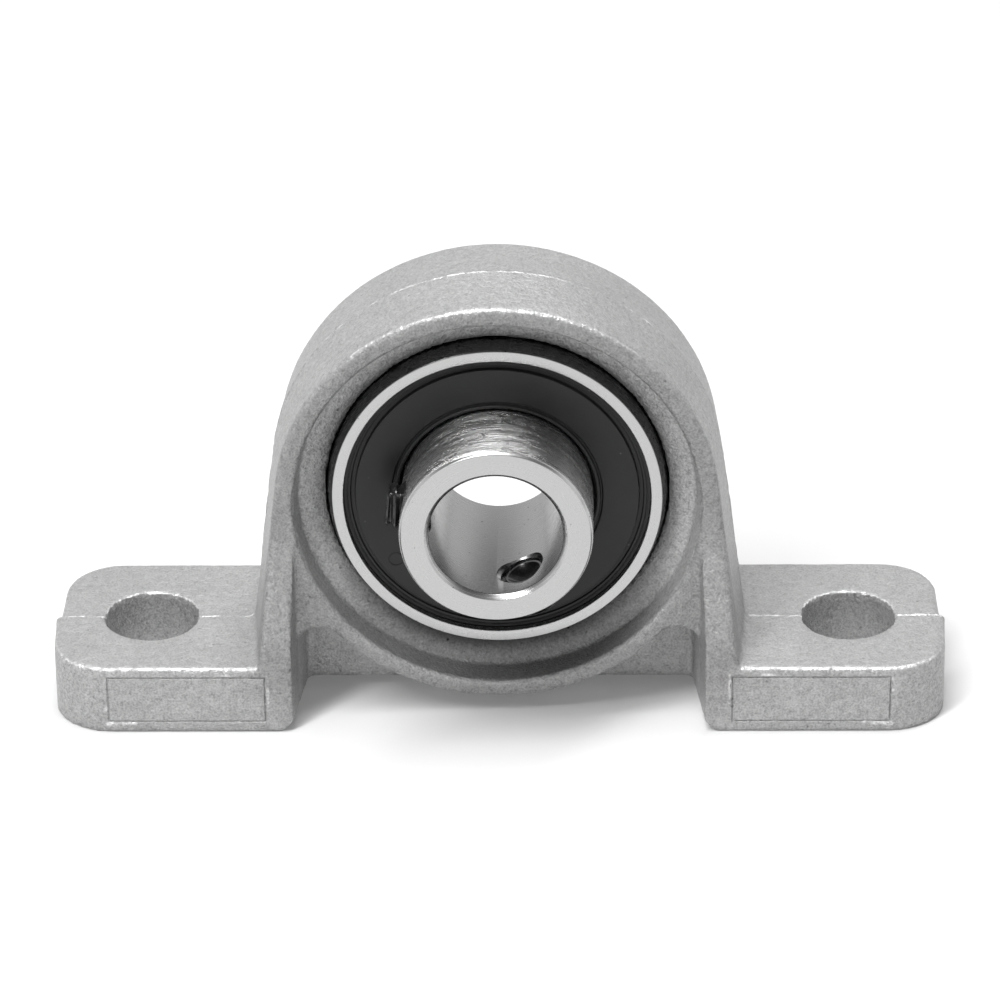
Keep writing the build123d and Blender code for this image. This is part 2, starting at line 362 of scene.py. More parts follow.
@dataclass(frozen=True)
class CastZinc:
    """Matte die-cast zinc: sandy, calmer on top, bright on rubbed edges, partly as a painted highlight,
    with painted shade and light in the recess and painted shade under the drum.
    """

    centre: Vector
    tone: float = 0.415
    # Rubbed edges are brightened; only upturned, forward-facing edges keep this, so it is partly wear
    # and partly a painted highlight.
    rubbed_and_highlight_tone: float = 0.34
    metallic: float = 0.5
    roughness: float = 0.5
    calm_on_top: float = 0.35
    sand: Grain = Grain(2.3, 3.0, tone=0.8, roughness=0.14, height=0.14)
    fine: Grain = Grain(6.0, tone=1.2, height=0.1)
    clouds: Grain = Grain(0.22, tone=0.16)
    rubs: Grain = Grain(1.7, 3.0, roughness=-0.12)
    rubs_show: Span = (0.35, 0.6)
    wear_and_highlight_shows: Span = (0.25, 0.8)
    pits: Specks = Specks(0.75, 0.11, tone=-0.1, height=0.03)
    # Painted shade: the recess numbers darken the zinc deep and low in the recess and lighten it at its
    # mouth as painted light; the wall numbers darken the walls that the drum overhangs.
    recess_edge: Span = (15.25, 15.05)
    recess_shade_span: Span = (14.5, 13.0)
    recess_shade_dim: float = 0.5
    recess_mouth_light: float = 0.16
    low_shade_span: Span = (-5.0, -13.0)
    low_shade_dim: float = 0.54
    wall_shade_span: Span = (24.5, 20.5)
    wall_shade_ends: Span = (4.8, 5.3)
    wall_shade_dim: float = 0.25

    def mix(self) -> bpy.types.Material:
        """Make the material and return it."""
        shade = Shade("cast_zinc", {"Metallic": self.metallic})
        top = shade.attribute("top")
        sandy = 1.0 - self.calm_on_top * top
        sand = shade.noise(self.sand) - 0.5
        fine = shade.noise(self.fine) - 0.5
        clouds = shade.noise(self.clouds) - 0.5
        pits = shade.specks(self.pits)
        # The rubbed share brightens the tone: partly real wear and flash, partly a painted highlight on
        # upturned front edges.
        rubbed_and_highlit = shade.attribute("wear_and_highlight").rise(*self.wear_and_highlight_shows)
        rubbed_and_highlit = rubbed_and_highlit * shade.noise(self.rubs).rise(*self.rubs_show)
        speckled = sandy * (self.sand.tone * sand + self.fine.tone * fine)
        skin = self.tone * (1.0 + speckled + self.clouds.tone * clouds) + self.rubbed_and_highlight_tone * rubbed_and_highlit
        # The tone takes painted shade in the recess and under the drum, and painted light at the recess
        # mouth.
        shade.grey(skin * (1.0 - self.painted_shade(shade, top)) + self.pits.tone * pits)
        rough = self.roughness + self.sand.roughness * sand + self.rubs.roughness * rubbed_and_highlit
        shade.feed("Roughness", rough)
        shade.relief(
            (sand * sandy, self.sand.height),
            (fine * sandy, self.fine.height),
            (1.0 - pits, self.pits.height),
        )
        return shade.material

    def painted_shade(self, shade: Shade, top: Value) -> Value:
        """Paint shade into the zinc: deep and low in the recess, and on the walls that the drum
        overhangs, with painted light near the recess mouth.

        Args:
            shade: The material in the making.
            top: How upturned the surface is.

        Returns:
            The share of the tone that painted shade takes away; below 0 near the recess mouth, where
            painted light adds to it.
        """
        radius, along, up = shade.around(self.centre)
        inside = radius.rise(*self.recess_edge)
        # Painted shade deep in the recess, turning to painted light near its mouth; painted shade low in
        # it and on the overhung walls.
        recess_shade = self.recess_shade_dim * radius.rise(*self.recess_shade_span) - self.recess_mouth_light
        low_shade = self.low_shade_dim * up.rise(*self.low_shade_span)
        near, far = self.wall_shade_ends
        end = (along * along).rise(near**2, far**2)
        wall_shade = self.wall_shade_dim * radius.rise(*self.wall_shade_span) * end * (1.0 - top)
        return inside * (recess_shade + low_shade) + (1.0 - inside) * wall_shade


@dataclass(frozen=True)
class GroundSteel:
    """Ground bearing steel: light faces, painted shade in the bore and on the ball band, and a scored
    outside.
    """

    centre: Vector
    bore: float
    inner_outside: float
    outer_face: float
    tone: float = 0.5
    roughness: float = 0.27
    # The bore and the ball band between ring and housing are darkened as painted shade.
    bore_shade_dim: float = 0.36
    outside_gain: float = 0.1
    band_shade_dim: float = 0.8
    blend: float = 0.1
    lines: Grain = Grain(9.0, 3.0, tone=0.08, roughness=0.06, height=0.0012)
    scores: Grain = Grain(14.0, 3.0, height=0.085)
    stains: Grain = Grain(0.9, 3.0, roughness=0.06)
    fine: Grain = Grain(5.0, tone=0.06, height=0.002)
    pits: Specks = Specks(0.9, 0.08, tone=-0.2, height=0.01)

    def mix(self) -> bpy.types.Material:
        """Make the material and return it."""
        shade = Shade("ground_steel", {"Metallic": 1.0})
        radius, along, _ = shade.around(self.centre)
        outside, blend = self.inner_outside, self.blend
        in_bore = radius.rise(self.bore + 2 * blend, self.bore + blend)
        on_band = radius.rise(self.outer_face - blend, self.outer_face)
        scored = radius.rise(outside - blend, outside - blend / 2)
        scored = scored * radius.rise(outside + 3 * blend, outside + blend)
        lines = shade.turned(self.lines, radius, along) - 0.5
        scores = shade.turned(self.scores, radius, along)
        stains = shade.noise(self.stains) - 0.5
        fine = shade.noise(self.fine) - 0.5
        pits = shade.specks(self.pits)
        light = self.tone * (1.0 + self.lines.tone * lines + self.fine.tone * fine)
        light = light * (1.0 + self.outside_gain * scored)
        # Painted shade in the bore and on the ball band.
        light = light * (1.0 - self.bore_shade_dim * in_bore) * (1.0 - self.band_shade_dim * on_band)
        shade.grey(light + self.pits.tone * pits)
        rough = self.roughness + self.stains.roughness * stains + self.lines.roughness * lines
        shade.feed("Roughness", rough)
        shade.relief(
            (lines, self.lines.height),
            (scores * scored, self.scores.height),
            (fine, self.fine.height),
            (1.0 - pits, self.pits.height),
        )
        return shade.material


@dataclass(frozen=True)
class SealRubber:
    """Black nitrile rubber: a soft sheen, a moulded skin and a little dust."""

    tone: float = 0.012
    roughness: float = 0.42
    gloss: float = 0.35
    skin: Grain = Grain(9.0, height=0.004)
    clouds: Grain = Grain(0.5, tone=0.6, roughness=0.14)
    dust: Specks = Specks(0.55, 0.06, tone=0.12, roughness=0.2, height=0.01)
    drifts: Grain = Grain(0.4)
    drifts_show: Span = (0.5, 0.7)

    def mix(self) -> bpy.types.Material:
        """Make the material and return it."""
        shade = Shade("seal_rubber", {"Metallic": 0.0, "Specular IOR Level": self.gloss})
        clouds = shade.noise(self.clouds) - 0.5
        dust = shade.specks(self.dust) * shade.noise(self.drifts).rise(*self.drifts_show)
        shade.grey(self.tone * (1.0 + self.clouds.tone * clouds) + self.dust.tone * dust)
        rough = self.roughness + self.clouds.roughness * clouds + self.dust.roughness * dust
        shade.feed("Roughness", rough)
        shade.relief((shade.noise(self.skin), self.skin.height), (dust, self.dust.height))
        return shade.material


@dataclass(frozen=True)
class BlackOxide:
    """Blackened screw steel, oiled and slightly worn on its crests."""

    tone: float = 0.02
    roughness: float = 0.2
    metallic: float = 0.4
    gloss: float = 0.4
    oil: float = 0.4
    grain: Grain = Grain(6.0, tone=0.6, roughness=0.2, height=0.004)
    rubs: Grain = Grain(1.6, tone=0.02)
    rubs_show: Span = (0.62, 0.75)

    def mix(self) -> bpy.types.Material:
        """Make the material and return it."""
        constants = {
            "Metallic": self.metallic,
            "Specular IOR Level": self.gloss,
            "Coat Weight": self.oil,
        }
        shade = Shade("black_oxide", constants)
        grain = shade.noise(self.grain) - 0.5
        rubs = shade.noise(self.rubs).rise(*self.rubs_show)
        shade.grey(self.tone * (1.0 + self.grain.tone * grain) + self.rubs.tone * rubs)
        shade.feed("Roughness", self.roughness + self.grain.roughness * grain)
        shade.relief((grain, self.grain.height))
        return shade.material


@dataclass(frozen=True)
class PressedSteel:
    """Cold-rolled sheet: bright, with rolling lines along X and a satin skin."""

    tone: float = 0.5
    roughness: float = 0.34
    stretch: tuple[float, float, float] = (0.3, 4.0, 4.0)
    lines: Grain = Grain(3.0, 3.0, tone=0.24, height=0.003)
    clouds: Grain = Grain(0.8, roughness=0.12)

    def mix(self) -> bpy.types.Material:
        """Make the material and return it."""
        shade = Shade("pressed_steel", {"Metallic": 1.0})
        stretching = {"Vector": shade.place, "Scale": self.stretch}
        stretched = shade.node("ShaderNodeMapping", inputs=stretching).outputs[0]
        lines = shade.noise(self.lines, stretched) - 0.5
        clouds = shade.noise(self.clouds) - 0.5
        shade.grey(self.tone * (1.0 + self.lines.tone * lines))
        shade.feed("Roughness", self.roughness + self.clouds.roughness * clouds)
        shade.relief((lines, self.lines.height))
        return shade.material


@dataclass(frozen=True)
class BallSteel:
    """Polished ball steel with a trace of grease."""

    tone: float = 0.7
    roughness: float = 0.08
    grease: Grain = Grain(1.1, tone=-0.12, roughness=0.2, height=0.004)
    grease_shows: Span = (0.45, 0.7)

    def mix(self) -> bpy.types.Material:
        """Make the material and return it."""
        shade = Shade("ball_steel", {"Metallic": 1.0})
        grease = shade.noise(self.grease).rise(*self.grease_shows)
        shade.grey(self.tone * (1.0 + self.grease.tone * grease))
        shade.feed("Roughness", self.roughness + self.grease.roughness * grease)
        shade.relief((grease, self.grease.height))
        return shade.material


@dataclass(frozen=True)
class Dressing:
    """Where a finished piece belongs, and what it is finished in."""

    body: Body
    slot: Slot
    material: bpy.types.Material
    replaces: tuple[str, ...] = ()


def scene_object(name: str, shape: bmesh.types.BMesh) -> bpy.types.Object:
    """Put a shape on a new object of the scene.

    Args:
        name: The object's name, and its mesh's.
        shape: The shape. It is used up.

    Returns:
        The new object.
    """
    mesh = bpy.data.meshes.new(name)
    shape.to_mesh(mesh)
    shape.free()
    made = bpy.data.objects.new(name, mesh)
    bpy.context.scene.collection.objects.link(made)
    return made


def drop(helper: bpy.types.Object) -> None:
    """Remove a helper object and its mesh.

    Args:
        helper: The object.
    """
    mesh = helper.data
    bpy.data.objects.remove(helper)
    bpy.data.meshes.remove(mesh)


def hand_over(
    name: str, shape: bmesh.types.BMesh, dressing: Dressing, centre: Vector, crease: float = 34.0
) -> bpy.types.Object:
    """Turn a shape in millimetres into a finished piece of the model.

    Args:
        name: The piece's name.
        shape: The shape about its centre. It is used up.
        dressing: Its body, slot, material and the nodes that it stands for.
        centre: Where the shape's own centre lies in the frame, in millimetres.
        crease: The angle in degrees past which an edge stays crisp.

    Returns:
        The new object, at the origin with its place in its mesh.
    """
    bmesh.ops.translate(shape, vec=centre, verts=shape.verts[:])
    bmesh.ops.scale(shape, vec=(MILLIMETRE,) * 3, verts=shape.verts[:])
    piece = scene_object(name, shape)
    piece.data.shade_smooth()
    piece.data.set_sharp_from_angle(angle=math.radians(crease))
    piece.data.materials.append(dressing.material)
    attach(piece, dressing.body.value)
    if dressing.replaces:
        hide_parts(*dressing.replaces)
    log.info("%s: %d faces on %s", name, len(piece.data.polygons), dressing.body.value)
    return piece


def taken_from(helper: bpy.types.Object) -> bmesh.types.BMesh:
    """Read the shape that a helper's modifiers make, and remove the helper.

    Args:
        helper: The object, which is deleted with its mesh.

    Returns:
        The modified shape.
    """
    evaluated = helper.evaluated_get(bpy.context.evaluated_depsgraph_get())
    result = bpy.data.meshes.new_from_object(evaluated)
    shape = bmesh.new()
    shape.from_mesh(result)
    drop(helper)
    bpy.data.meshes.remove(result)
    return shape


def cut(
    shape: bmesh.types.BMesh, tool: bmesh.types.BMesh, kind: Cut = Cut.TAKE_AWAY
) -> bmesh.types.BMesh:
    """Cut a shape with a tool shape. Both are closed, and both are used up.

    Args:
        shape: What is cut.
        tool: What cuts it.
        kind: Whether the tool takes away or keeps what is inside it.

    Returns:
        The shape that is left.
    """
    work = scene_object("work", shape)
    knife = scene_object("knife", tool)
    modifier = work.modifiers.new("cut", "BOOLEAN")
    modifier.operation = kind.value
    modifier.solver = "MANIFOLD"
    modifier.object = knife
    result = taken_from(work)
    drop(knife)
    return result


def transformed(shape: bmesh.types.BMesh, matrix: Matrix) -> bmesh.types.BMesh:
    """Move a shape by a matrix and return it."""
    bmesh.ops.transform(shape, matrix=matrix, verts=shape.verts[:])
    return shape


def sliced(
    shape: bmesh.types.BMesh, geometry: list[Element], place: Vector, normal: Vector
) -> list[Element]:
    """Cut new edges into a shape where a plane crosses it.

    Args:
        shape: The shape.
        geometry: The part of it that is cut.
        place: A point of the plane.
        normal: The direction that the plane faces.

    Returns:
        The same part with its new points, edges and faces.
    """
    made = bmesh.ops.bisect_plane(
        shape, geom=geometry, plane_co=place, plane_no=normal, dist=ON_PLANE
    )
    return made["geom"]


def within(value: float, low: float, high: float) -> float:
    """Say how far a value has gone from low to high, from 0 to 1. Low may be above high."""
    return min(max((value - low) / (high - low), 0.0), 1.0)


def wavering(spot: Vector, waves: Waves) -> float:
    """Add up layers of noise at a spot."""
    return sum(weight * noise.noise(spot * scale) for scale, weight in waves)


class HalfSection:
    """The half section of a turned form, drawn corner by corner about the Y axis."""

    def __init__(self, *corners: Corner) -> None:
        """Draw the first corners."""
        self.shape = bmesh.new()
        self.line: list[bmesh.types.BMVert] = []
        self.rounded: list[tuple[bmesh.types.BMVert, float]] = []
        self.through(*corners)

    def through(self, *corners: Corner) -> None:
        """Draw straight from corner to corner.

        Args:
            corners: The corners, in order.
        """
        for along, out, *rounding in corners:
            point = self.shape.verts.new((0.0, along, out))
            if self.line:
                self.shape.edges.new((self.line[-1], point))
            self.line.append(point)
            if rounding:
                self.rounded.append((point, *rounding))

    def swing(self, centre: Span, angle: float, steps: int, rounding: float = 0.0) -> None:
        """Draw an arc from the last point.

        Args:
            centre: The arc's centre, along the axis and out from it.
            angle: How far it turns, from along the axis towards out.
            steps: How many chords it has.
            rounding: The rounding where it ends.
        """
        start, middle = [self.line[-1]], (0.0, *centre)
        drawn = bmesh.ops.spin(
            self.shape, geom=start, cent=middle, axis=(1, 0, 0), angle=angle, steps=steps
        )
        self.line.append(drawn["geom_last"][0])
        if rounding:
            self.rounded.append((self.line[-1], rounding))

    def revolve(self, steps: int) -> bmesh.types.BMesh:
        """Close the section, round its corners and turn it about its axis, which is Y.

        Args:
            steps: How many steps the full turn has.

        Returns:
            The turned shape, closed, with its faces outwards.
        """
        first, last = self.line[0], self.line[-1]
        if (first.co - last.co).length > WELD:
            self.shape.edges.new((last, first))
        for point, rounding in self.rounded:
            bmesh.ops.bevel(
                self.shape,
                geom=[point],
                offset=rounding,
                segments=ROUNDING_STEPS,
                affect="VERTICES",
                profile=0.5,
                material=-1,
            )
        bmesh.ops.remove_doubles(self.shape, verts=self.shape.verts[:], dist=WELD)
        on_axis = [edge for edge in self.shape.edges if max(abs(v.co.z) for v in edge.verts) < WELD]
        bmesh.ops.delete(self.shape, geom=on_axis, context="EDGES")
        bmesh.ops.spin(
            self.shape,
            geom=self.shape.verts[:] + self.shape.edges[:],
            cent=(0, 0, 0),
            axis=(0, 1, 0),
            angle=FULL_TURN,
            steps=steps,
            use_merge=True,
        )
        bmesh.ops.remove_doubles(self.shape, verts=self.shape.verts[:], dist=WELD)
        bmesh.ops.recalc_face_normals(self.shape, faces=self.shape.faces[:])
        return self.shape


@dataclass(frozen=True)
class Thread:
    """A V thread along Z, right-handed."""

    crest: float
    root: float
    pitch: float = 0.7
    steps: int = 40
    flank_share: float = 0.4
    crest_share: float = 0.12
    lead_in: float = 1.63

    def bar(self, low: float, high: float) -> bmesh.types.BMesh:
        """Make a threaded bar.

        Args:
            low: The Z of its lower end.
            high: The Z of its upper end.

        Returns:
            The closed bar.
        """
        shape = bmesh.new()
        rise = self.flank_share * self.pitch
        flat = self.crest_share * self.pitch
        outline = ((self.root, 0), (self.crest, rise), (self.crest, rise + flat))
        outline += ((self.root, 2 * rise + flat), (self.root, self.pitch))
        start = low - self.lead_in * self.pitch
        points = [shape.verts.new((radius, 0, start + height)) for radius, height in outline]
        edges = [shape.edges.new(pair) for pair in zip(points, points[1:])]
        turns = math.ceil((high - low) / self.pitch + self.lead_in) + 1
        bmesh.ops.spin(
            shape,
            geom=points + edges,
            cent=(0, 0, 0),
            axis=(0, 0, 1),
            dvec=(0, 0, self.pitch / self.steps),
            angle=FULL_TURN * turns,
            steps=self.steps * turns,
        )
        bmesh.ops.remove_doubles(shape, verts=shape.verts[:], dist=10 * WELD)
        for height, facing in ((low, -1), (high, 1)):
            ended = bmesh.ops.bisect_plane(
                shape,
                geom=shape.verts[:] + shape.edges[:] + shape.faces[:],
                plane_co=(0, 0, height),
                plane_no=(0, 0, facing),
                clear_outer=True,
            )
            rim = [item for item in ended["geom_cut"] if isinstance(item, bmesh.types.BMEdge)]
            bmesh.ops.holes_fill(shape, edges=rim, sides=0)
        bmesh.ops.recalc_face_normals(shape, faces=shape.faces[:])
        return shape


@dataclass
class Housing:
    """The die-cast housing: the CAD's form with a cast skin, flash, witness lines and clean bores."""

    box: NodeBox
    centre: Vector
    material: bpy.types.Material
    skin_pitch: float = 0.27
    smoothing: float = 0.4
    smoothing_passes: int = 2
    skin_height: float = 0.02
    skin_waves: Waves = ((0.35, 1.0), (1.7, 0.6))
    parting_foot: float = 0.3
    parting_half: float = 0.12
    parting_height: float = 0.05
    parting_shoulder: float = 0.35
    parting_mean: float = 0.7
    parting_least: float = -0.2
    parting_waves: Waves = ((0.17, 1.3), (1.3, 0.9))
    end_start: float = 28.5
    end_reach: float = 33.5
    end_step: float = 0.36
    bolt_spacing: float = 53.0
    foot_height: float = 5.5
    bolt_hole_radius: float = 3.5
    bolt_hole_seed: float = 7.0
    bolt_hole_stretch: float = 0.3
    bolt_hole_waver: float = 0.014
    bolt_hole_waves: Waves = ((0.8, 1.0), (2.3, 0.7))
    drum_half_width: float = 5.5
    seat_radius: float = 13.08
    seat_half_width: float = 2.64
    seat_step: float = 0.45
    seat_rounding: float = 0.08
    recess_floor: float = 14.95
    recess_corner: float = 0.3
    recess_radius: float = 15.1
    recess_beyond: float = 2.0
    mouth: float = 0.3
    mouth_rounding: float = 0.12
    panel_low: Span = (17.6, 0.95)
    panel_high: Span = (29.4, 4.75)
    panel_margin: float = 1.0
    panel_depth: float = 0.3
    line_width: float = 0.18
    line_core: float = 0.2
    line_depth: float = 0.1
    flash_offset: float = 0.22
    flash_height: float = 0.07
    flash_seed: float = 3.0
    flash_shows: Span = (-0.25, 0.8)
    flash_reach: Span = (0.16, 0.08)
    flash_waves: Waves = ((0.55, 1.5), (2.1, 1.2))
    # Edges that bend enough count as rubbed; keeping only upturned, forward-facing ones paints a
    # highlight there, on top of the wear.
    wear_and_highlight_bend: Span = (0.15, 0.55)
    highlight_upturn: Span = (0.42, 0.66)
    highlight_forward: Span = (-0.35, 0.45)
    crease: float = 42.0

    def build(self) -> bpy.types.Object:
        """Build the housing and return its piece."""
        shape = self.skin()
        self.engrave_panels(shape)
        self.part_halves(shape)
        self.roughen(shape)
        shape = cut(shape, self.recess_tool())
        for side in (-1, 1):
            shape = cut(shape, self.bolt_tool(side))
        self.mark_wear_and_highlight(shape)
        dressing = Dressing(Body.HOUSING, Slot.CAST_ZINC, self.material, ("housing",))
        return hand_over("housing_casting", shape, dressing, Vector(), self.crease)

    def skin(self) -> bmesh.types.BMesh:
        """Cover a merged copy of the CAD node with an even skin of small faces.

        Returns:
            The skin, in millimetres in the frame's place.
        """
        shape = bmesh.new()
        shape.from_mesh(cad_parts["housing"].data)
        bmesh.ops.remove_doubles(shape, verts=shape.verts[:], dist=WELD * MILLIMETRE * 10)
        bmesh.ops.scale(shape, vec=(1 / MILLIMETRE,) * 3, verts=shape.verts[:])
        form = scene_object("form", shape.copy())
        helper = scene_object("skin", shape)
        remesh = helper.modifiers.new("skin", "REMESH")
        remesh.mode = "VOXEL"
        remesh.voxel_size = self.skin_pitch
        fit = helper.modifiers.new("fit", "SHRINKWRAP")
        fit.target = form
        shape = taken_from(helper)
        drop(form)
        ways = {"use_axis_x": True, "use_axis_y": True, "use_axis_z": True}
        for _ in range(self.smoothing_passes):
            bmesh.ops.smooth_vert(shape, verts=shape.verts[:], factor=self.smoothing, **ways)
        return shape

    def engrave_panels(self, shape: bmesh.types.BMesh) -> None:
        """Cut a bare die insert's thin outline into the front of each foot, with flash beside it.

        Args:
            shape: The housing's skin.
        """
        half = self.line_width / 2
        low, high = self.panel_low, self.panel_high
        lines = [(Vector((1, 0, 0)), place) for place in (low[0], high[0])]
        lines += [(Vector((0, 0, 1)), place) for place in (low[1], high[1])]
        for side in (-1, 1):
            faces = [face for face in shape.faces if self.near_panel(face, side)]
            edges = {edge for face in faces for edge in face.edges}
            points = {vert for face in faces for vert in face.verts}
            patch = list(points) + list(edges) + faces
            for normal, place in lines:
                at = place * (side if normal.x else 1)
                for offset in (-self.flash_offset, -half, 0.0, half, self.flash_offset):
                    patch = sliced(shape, patch, normal * (at + offset), normal)
        for point in shape.verts:
            if point.co.y < self.box.low.y + self.panel_depth + self.line_depth:
                point.co.y += self.step_at(abs(point.co.x), point.co.z)

    def near_panel(self, face: bmesh.types.BMFace, side: int) -> bool:
        """Say whether a face lies on the front of one foot, near its panel.

        Args:
            face: The face.
            side: -1 for the left foot and 1 for the right one.

        Returns:
            Whether it does.
        """
        middle = face.calc_center_median()
        on_front = middle.y < self.box.low.y + self.panel_depth
        return on_front and self.inside_panel(side * middle.x, middle.z) > -self.panel_margin

    def inside_panel(self, across: float, up: float) -> float:
        """Say how far a point of a foot's front lies inside its panel, or, below 0, outside it."""
        low, high = self.panel_low, self.panel_high
        return min(across - low[0], high[0] - across, up - low[1], high[1] - up)

    def step_at(self, across: float, up: float) -> float:
        """Say how a point of a foot's front moves at the outline and at its flash.

        Args:
            across: How far the point is from the middle of the base.
            up: How high it is.

        Returns:
            How far it goes in or, below 0, out.
        """
        inside = self.inside_panel(across, up)
        if abs(inside) < self.line_core * self.line_width:
            return self.line_depth
        if abs(inside + self.flash_offset) < 3 * NEAR:
            return -self.flash_height * self.flash_at(across, up)
        return 0.0

    def flash_at(self, across: float, up: float) -> float:
        """Say how much flash was left at a place beside the outline, from 0 to 1."""
        spot = Vector((across, self.flash_seed, up))
        return within(wavering(spot, self.flash_waves), *self.flash_shows)

    def part_halves(self, shape: bmesh.types.BMesh) -> None:
        """Raise ragged flash along the parting plane and let the front half's feet reach further.

        Args:
            shape: The housing's skin.
        """
        half, foot = self.parting_half, self.parting_foot
        for place in (-foot, -half, 0.0, half, foot):
            everything = shape.verts[:] + shape.edges[:] + shape.faces[:]
            sliced(shape, everything, Vector((0, place, 0)), Vector((0, 1, 0)))
        shape.normal_update()
        for point in shape.verts:
            distance = abs(point.co.y)
            if distance < half + NEAR:
                share = 1.0 if distance < NEAR else self.parting_shoulder
                ragged = self.parting_mean + wavering(point.co, self.parting_waves)
                outwards = Vector((point.normal.x, 0, point.normal.z))
                point.co += outwards * self.parting_height * share * max(self.parting_least, ragged)
            if point.co.y < -2 * NEAR:
                reach = (abs(point.co.x) - self.end_start) / (self.end_reach - self.end_start)
                point.co.x += math.copysign(self.end_step * max(reach, 0.0), point.co.x)

    def roughen(self, shape: bmesh.types.BMesh) -> None:
        """Give the skin the slight waves of a casting, and keep its underside on the floor.

        Args:
            shape: The housing's skin.
        """
        shape.normal_update()
        for point in shape.verts:
            point.co += point.normal * self.skin_height * wavering(point.co, self.skin_waves)
            point.co.z = max(point.co.z, self.box.low.z)

    def recess_tool(self) -> bmesh.types.BMesh:
        """Shape the recess and ball-shaped seat that are cut through the drum.

        Returns:
            The tool, in the frame's place.
        """
        edge, radius, mouth = self.drum_half_width, self.recess_radius, self.mouth
        half, beyond = self.seat_half_width, self.recess_beyond
        rear = [
            (half, math.sqrt(self.seat_radius**2 - half**2), self.seat_rounding),
            (half + self.seat_step, self.recess_floor, self.recess_corner),
            (edge - 2 * mouth, radius - 2 * NEAR),
            (edge - mouth, radius, self.mouth_rounding),
            (edge + 5 * NEAR, radius + mouth, self.mouth_rounding),
            (edge + beyond, radius + beyond),
            (edge + beyond, 0),
        ]
        section = HalfSection(*((-along, *rest) for along, *rest in reversed(rear)))
        angle = 2 * math.asin(half / self.seat_radius)
        section.swing((0.0, 0.0), -angle, 16, self.seat_rounding)
        section.through(*rear[1:])
        return transformed(section.revolve(288), Matrix.Translation(self.centre))

    def bolt_tool(self, side: int) -> bmesh.types.BMesh:
        """Shape one bolt hole, its mouths slightly broken and not quite round.

        Args:
            side: -1 for the left foot and 1 for the right one.

        Returns:
            The tool, in the frame's place.
        """
        radius, top = self.bolt_hole_radius, self.foot_height
        section = HalfSection(
            (-1.0, 0),
            (-1.0, radius + 1.2),
            (0.0, radius + 0.2),
            (0.25, radius),
            (1.0, radius + 0.01),
            (top - 1.0, radius - 0.04),
            (top - 0.12, radius - 0.02, 0.05),
            (top + 0.02, radius + 0.07, 0.05),
            (top + 1.0, radius + 1.0),
            (top + 1.0, 0),
        )
        tool = transformed(section.revolve(144), AXIS_UP)
        for point in tool.verts:
            height = side * self.bolt_hole_seed + point.co.z * self.bolt_hole_stretch
            waves = wavering(Vector((point.co.x, point.co.y, height)), self.bolt_hole_waves)
            point.co.xy *= 1.0 + self.bolt_hole_waver * waves
        return transformed(tool, Matrix.Translation((side * self.bolt_spacing / 2, 0, 0)))

    def mark_wear_and_highlight(self, shape: bmesh.types.BMesh) -> None:
        """Store how rubbed and how upturned each point is, for the finish to read. The rubbed share is
        kept only on upturned, forward-facing edges, so it is partly wear and partly a painted highlight;
        flash beside the outlines adds to it.

        Args:
            shape: The housing with all its holes.
        """
        wear_and_highlight = shape.verts.layers.float.new("wear_and_highlight")
        top = shape.verts.layers.float.new("top")
        shape.normal_update()
        for edge in shape.edges:
            amount = within(edge.calc_face_angle_signed(0.0), *self.wear_and_highlight_bend)
            for point in edge.verts:
                point[wear_and_highlight] = max(point[wear_and_highlight], amount)
        spread = {}
        for point in shape.verts:
            total = sum(edge.other_vert(point)[wear_and_highlight] for edge in point.link_edges)
            spread[point] = total / max(len(point.link_edges), 1)
        for point, beside in spread.items():
            facing = point.normal
            point[top] = max(facing.z, 0.0)
            point[wear_and_highlight] = (point[wear_and_highlight] + beside) / 2
            # Only upturned, forward-facing edges keep their share: a painted highlight on top of the
            # wear.
            point[wear_and_highlight] *= within(facing.z, *self.highlight_upturn) * within(-facing.y, *self.highlight_forward)
            if point.co.y < self.box.low.y + self.line_depth:
                across, up = abs(point.co.x), point.co.z
                distance = abs(self.inside_panel(across, up) + self.flash_offset)
                point[wear_and_highlight] += self.flash_at(across, up) * within(distance, *self.flash_reach)


@dataclass
class BearingSizes:
    """Sizes of the bearing insert, measured on the frame where it shows them."""

    outer: NodeBox
    inner: NodeBox
    ball: NodeBox
    rim: float = 0.86
    land: float = 10.56
    groove: float = 2.476
    groove_steps: int = 20
    play: float = 0.03
    bore: float = 5.0
    steps: int = 256
    seal_back: float = 3.0

    @property
    def centre(self) -> Vector:
        """Give the middle of the bearing."""
        return self.outer.middle

    @property
    def sphere(self) -> float:
        """Give the radius of the outer ring's ball-shaped outside."""
        return self.outer.size.x / 2

    @property
    def half_width(self) -> float:
        """Give half the width of the outer ring."""
        return self.outer.size.y / 2

    @property
    def face(self) -> float:
        """Give the radius of the outer ring's flat faces."""
        return math.sqrt(self.sphere**2 - self.half_width**2)

    @property
    def inner_outside(self) -> float:
        """Give the radius of the inner ring's outside."""
        return self.inner.size.x / 2

    @property
    def pitch(self) -> float:
        """Give the radius on which the balls run."""
        return self.ball.middle.z - self.centre.z

    def groove_under(self, side: int, land: float) -> Span:
        """Place the ball groove of a ring.

        Args:
            side: 1 for the outer ring and -1 for the inner one.
            land: The ring's radius beside the groove.

        Returns:
            The radius on which the groove's centre lies, and half its width at the land.
        """
        middle = self.pitch + side * (self.ball.size.z / 2 + self.play - self.groove)
        return middle, math.sqrt(self.groove**2 - (land - middle) ** 2)


